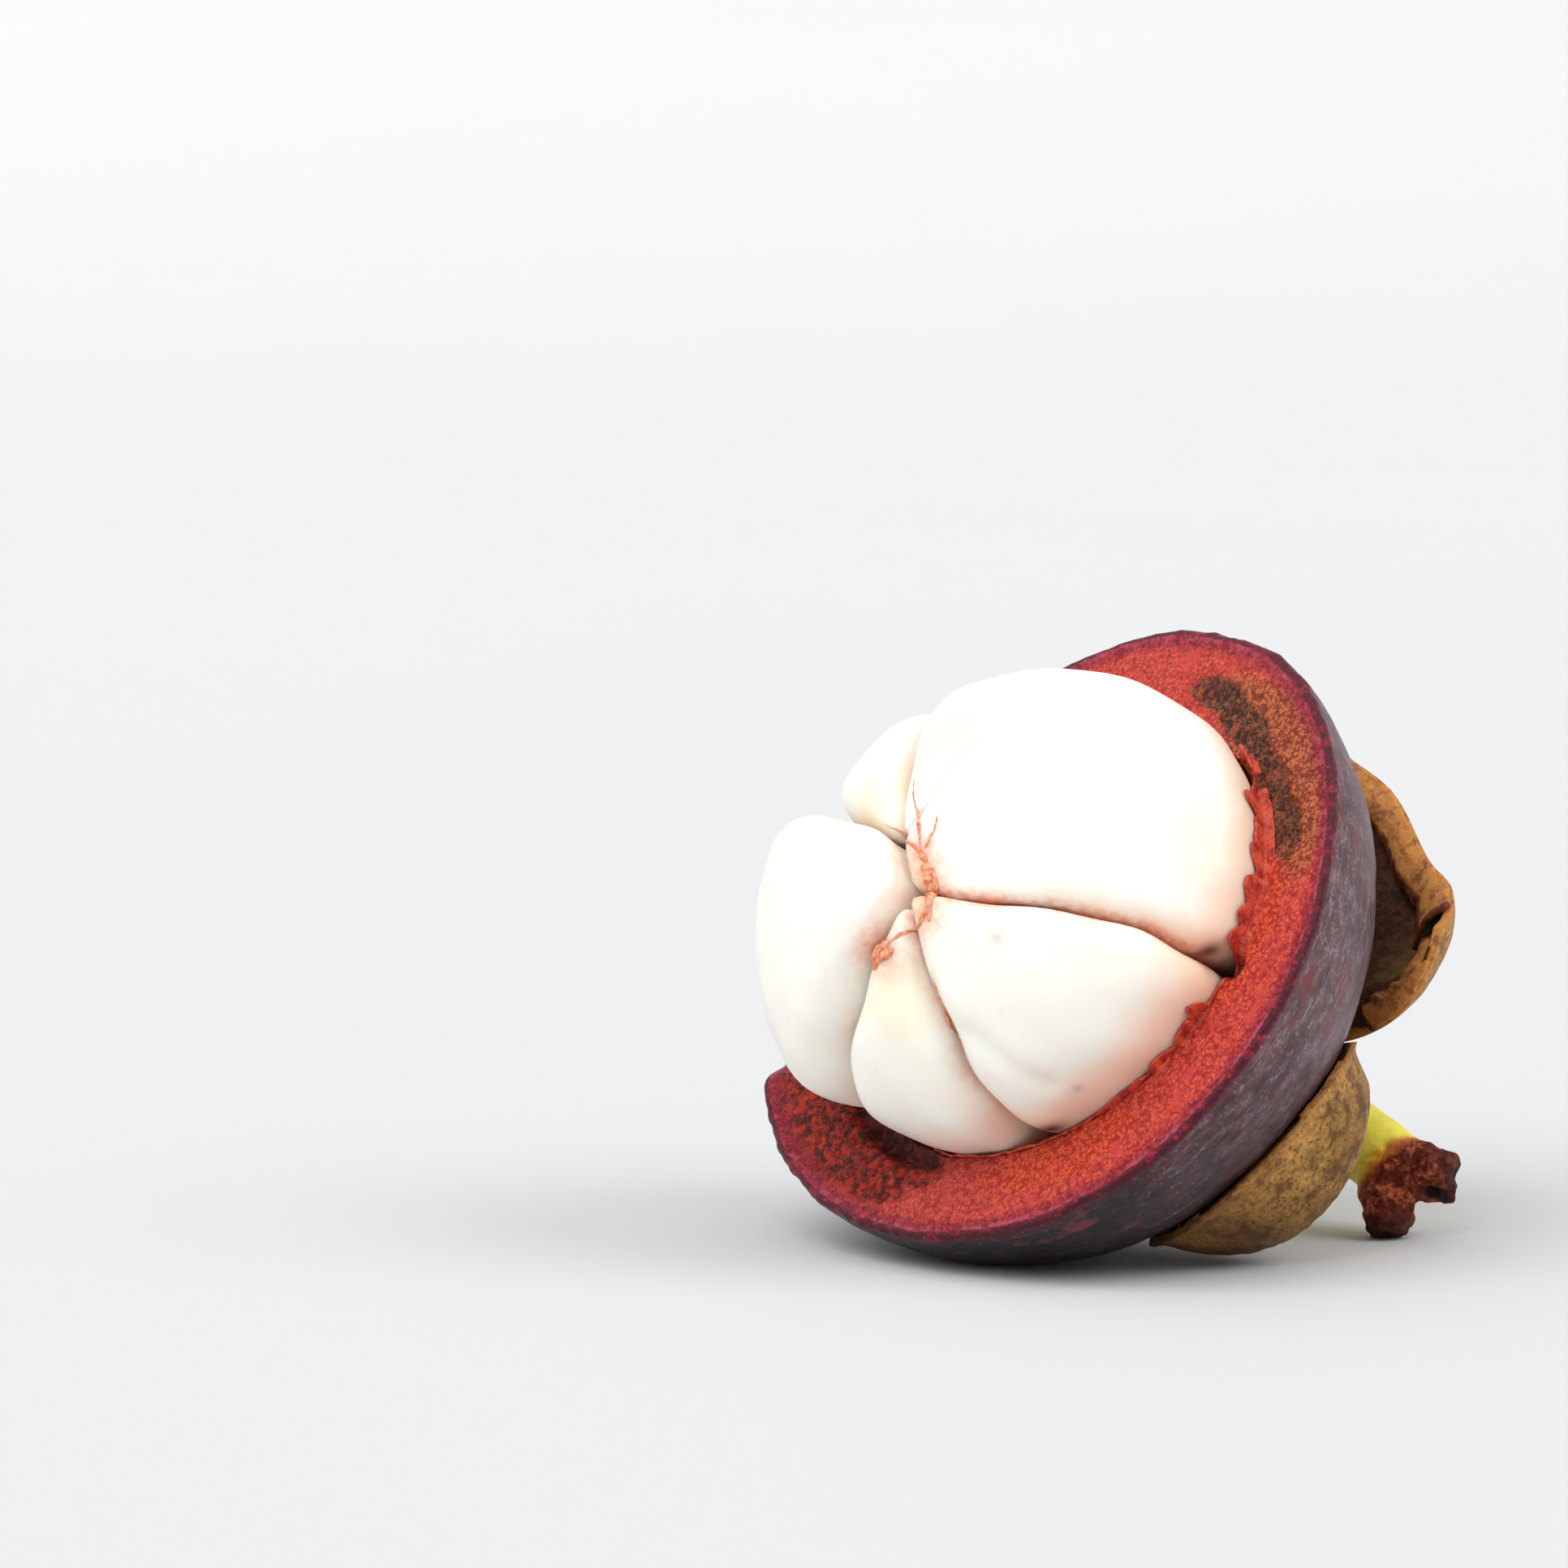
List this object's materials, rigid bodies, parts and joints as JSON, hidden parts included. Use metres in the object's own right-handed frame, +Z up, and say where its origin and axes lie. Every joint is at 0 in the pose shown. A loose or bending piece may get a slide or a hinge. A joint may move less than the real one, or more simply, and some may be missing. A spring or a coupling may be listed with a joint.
{
  "type": "open mangosteen",
  "caption": "Cut mangosteen: a thick leaning rind cup with a proud ball of white flesh segments, curled leathery sepals and a short snapped stem.",
  "frame": {"origin": "centre of the small flat spot on the rind that the fruit rests on", "axes": "+Z up, straight away from the surface that the fruit rests on; the open cut faces -X, -Y and up; the stem points to +X, +Y and down"},
  "size_m": [0.0638, 0.0584, 0.0551],
  "materials": {
    "rind": "waxy, dark purple-grey with a dull bloom",
    "flesh": "moist, softly translucent white",
    "sepal": "dry, leathery, mottled olive and tan",
    "stem": "dry, yellow-green with a brown broken end"
  },
  "bodies": {
    "root": {"rind_cup": "rind", "aril_a": "flesh", "aril_b": "flesh", "aril_c": "flesh", "aril_d": "flesh", "aril_e": "flesh", "aril_f": "flesh", "sepal_upper": "sepal", "sepal_lower": "sepal", "sepal_back_upper": "sepal", "sepal_back_lower": "sepal", "stem": "stem"}
  },
  "joints": []
}
